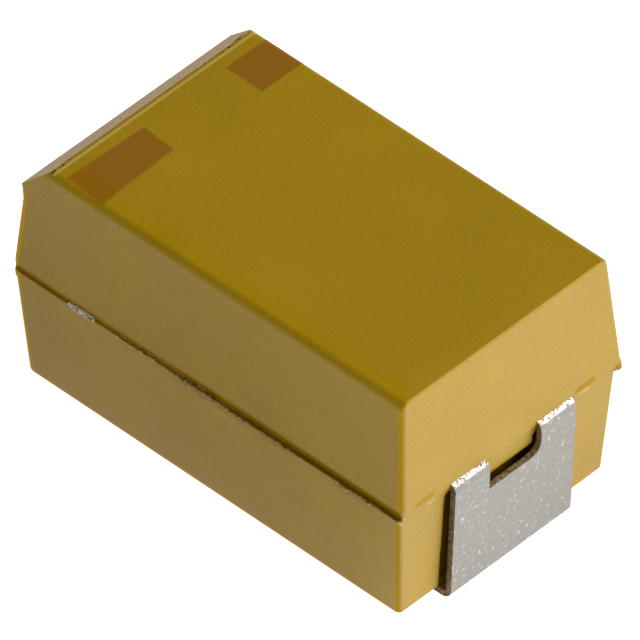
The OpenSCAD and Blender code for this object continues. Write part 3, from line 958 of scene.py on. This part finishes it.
    # The gloss goes where shade is painted, where the resin is etched or scarred, and along the edges that
    # carry painted light.
    dull = plus(painted_shade, times(marks, 0.85), clamp=True)
    dull = plus(dull, times(scarred, 0.95), clamp=True)
    dull = plus(dull, times(painted("dulled"), 0.9), clamp=True)
    rims = times(times(plus(edge_strip, cathode_rim), at_top_edge), 0.5)
    dull = plus(dull, plus(rims, shaded_holes), clamp=True)
    gloss = times(reckoned(add, link, "SUBTRACT", 1.0, dull), 0.8)
    link(gloss, shader.inputs["Specular IOR Level"])
    rough = plus(plus(times(grain, 0.12), 0.40), times(marks, 0.2))
    link(rough, shader.inputs["Roughness"])
    shader.inputs["IOR"].default_value = 1.5
    raised(add, link, shader, grain, 0.0022, strength=0.8)
    return made


epoxy = moulded_epoxy()
finished_piece(case_body, [epoxy], 0, "case")


# ---- Table ------------------------------------------------------------------------------------
# A white light table. Its glow is held back in front of the near long side, which mirrors that part
# of it, and is stronger beyond the cathode end.
TABLE_WHITE = (0.9, 0.9, 0.9)
TABLE_SEEN = 1.02
TABLE_HALF = 300
TABLE_GAP = 0.02
TABLE_GLOW_SHADE = 0.09
TABLE_GLOW_OPEN = 0.446
SHADE_X = -0.5
SHADE_Y = -7.1
SHADE_HALF_L = 11.5
SHADE_HALF_W = 4.5
SHADE_SOFT = (0.74, 1.10)
BRIGHTER_FROM_X = 3.4
BRIGHTER_TO_X = 6.0
BRIGHTER_TIMES = 1.55

table_z = cad_low[2] / MM - TABLE_GAP
table = solid_mesh(
    "table",
    [[sx * TABLE_HALF, sy * TABLE_HALF, table_z] for sx, sy in ((-1, -1), (1, -1), (1, 1), (-1, 1))],
    [[0, 1, 2, 3]], smooth=False,
)
glowing, add, link, shader = finish("white_table")
place = in_millimetres(add, link, stretch=(1 / SHADE_HALF_L, 1 / SHADE_HALF_W, 0))
from_shade = add("VectorMath", operation="SUBTRACT")
from_shade.inputs[1].default_value = (SHADE_X / SHADE_HALF_L, SHADE_Y / SHADE_HALF_W, 0)
link(place, from_shade.inputs[0])
away = add("VectorMath", operation="LENGTH")
link(from_shade.outputs["Vector"], away.inputs[0])
graded = add("MapRange", interpolation_type="SMOOTHSTEP")
for socket, value in zip(list(graded.inputs)[1:5], (*SHADE_SOFT, TABLE_GLOW_SHADE, TABLE_GLOW_OPEN)):
    socket.default_value = value
link(away.outputs["Value"], graded.inputs["Value"])
across_table = add("SeparateXYZ")
link(in_millimetres(add, link), across_table.inputs["Vector"])
brighter = add("MapRange", interpolation_type="SMOOTHSTEP")
for socket, value in zip(list(brighter.inputs)[1:5], (BRIGHTER_FROM_X, BRIGHTER_TO_X, 1, BRIGHTER_TIMES)):
    socket.default_value = value
link(across_table.outputs["X"], brighter.inputs["Value"])
table_glow = reckoned(add, link, "MULTIPLY", graded.outputs["Result"], brighter.outputs["Result"])
ray = add("LightPath")
shown = add("Mix", data_type="FLOAT")
link(ray.outputs["Is Camera Ray"], shown.inputs[0])
link(table_glow, shown.inputs[2])
shown.inputs[3].default_value = TABLE_SEEN
link(shown.outputs[0], shader.inputs["Emission Strength"])
shader.inputs["Base Color"].default_value = (*TABLE_WHITE, 1)
shader.inputs["Roughness"].default_value = 0.9
shader.inputs["Specular IOR Level"].default_value = 0.0
shader.inputs["Emission Color"].default_value = (1, 1, 1, 1)
table.data.materials.append(glowing)


# ---- Camera -----------------------------------------------------------------------------------
# A long lens set well back, which looks down on the cathode end and the near long side.
CAMERA_TARGET = Vector((0.0562, 0.0292, 2.035)) * MM
CAMERA_AZIMUTH = 43.8435
CAMERA_ELEVATION = 43.4228
CAMERA_ROLL = -0.1218
CAMERA_DISTANCE = 327.973 * MM
CAMERA_LENS = 1369.26
SENSOR_W = 36.0


def from_angles(azimuth, elevation):
    """The direction from the part to a point at that azimuth, from -Y towards +X, and elevation."""
    a, e = np.radians(azimuth), np.radians(elevation)
    return Vector((np.sin(a) * np.cos(e), -np.cos(a) * np.cos(e), np.sin(e)))


def aimed(position, target, roll=0.0):
    """A place and turn that looks from position to target, with up as near +Z as it can be."""
    turn = (Vector(target) - Vector(position)).to_track_quat("-Z", "Y").to_matrix()
    turn = turn @ Matrix.Rotation(roll, 3, "Z")
    return Matrix.Translation(position) @ turn.to_4x4()


lens = bpy.data.cameras.new("camera")
lens.sensor_fit = "HORIZONTAL"
lens.sensor_width = SENSOR_W
lens.lens = CAMERA_LENS
lens.clip_start = 0.01
lens.clip_end = 3.0
camera = bpy.data.objects.new("camera", lens)
bpy.context.scene.collection.objects.link(camera)
camera.matrix_world = aimed(
    CAMERA_TARGET + from_angles(CAMERA_AZIMUTH, CAMERA_ELEVATION) * CAMERA_DISTANCE,
    CAMERA_TARGET, np.radians(CAMERA_ROLL))
bpy.context.scene.camera = camera


# ---- Lights -----------------------------------------------------------------------------------
# A large soft box to the right and somewhat behind the part, a smaller one overhead, and a weak fill
# from the left. The surroundings are white to the camera, but light nothing.
LIGHT_DISTANCE = 300
LIGHT_AIM_Z = 2.0
KEY_W = 0.752
OVERHEAD_W = 0.176
FILL_W = 0.083


def soft_box(name, azimuth, elevation, width_mm, depth_mm, watts):
    """A rectangular area light that faces the part and isn't seen by the camera."""
    light = bpy.data.lights.new(name, "AREA")
    light.shape = "RECTANGLE"
    light.size = width_mm * MM
    light.size_y = depth_mm * MM
    light.energy = watts
    lamp = bpy.data.objects.new(name, light)
    bpy.context.scene.collection.objects.link(lamp)
    lamp.matrix_world = aimed(from_angles(azimuth, elevation) * LIGHT_DISTANCE * MM, (0, 0, LIGHT_AIM_Z * MM))
    lamp.visible_camera = False


soft_box("key", 136, 34, 200, 230, KEY_W)
soft_box("overhead", 60, 80, 160, 160, OVERHEAD_W)
soft_box("fill", -18, 12, 140, 110, FILL_W)

sky = bpy.data.worlds.new("sky")
bpy.context.scene.world = sky
sky.use_nodes = True
sky_nodes, sky_links = sky.node_tree.nodes, sky.node_tree.links
seen = sky_nodes.new("ShaderNodeLightPath")
glow = sky_nodes["Background"]
strength = sky_nodes.new("ShaderNodeMapRange")
sky_links.new(seen.outputs["Is Camera Ray"], strength.inputs["Value"])
strength.inputs["To Min"].default_value = 0.0
strength.inputs["To Max"].default_value = TABLE_SEEN
sky_links.new(strength.outputs["Result"], glow.inputs["Strength"])
glow.inputs["Color"].default_value = (1, 1, 1, 1)
bpy.context.scene.view_settings.view_transform = "Standard"
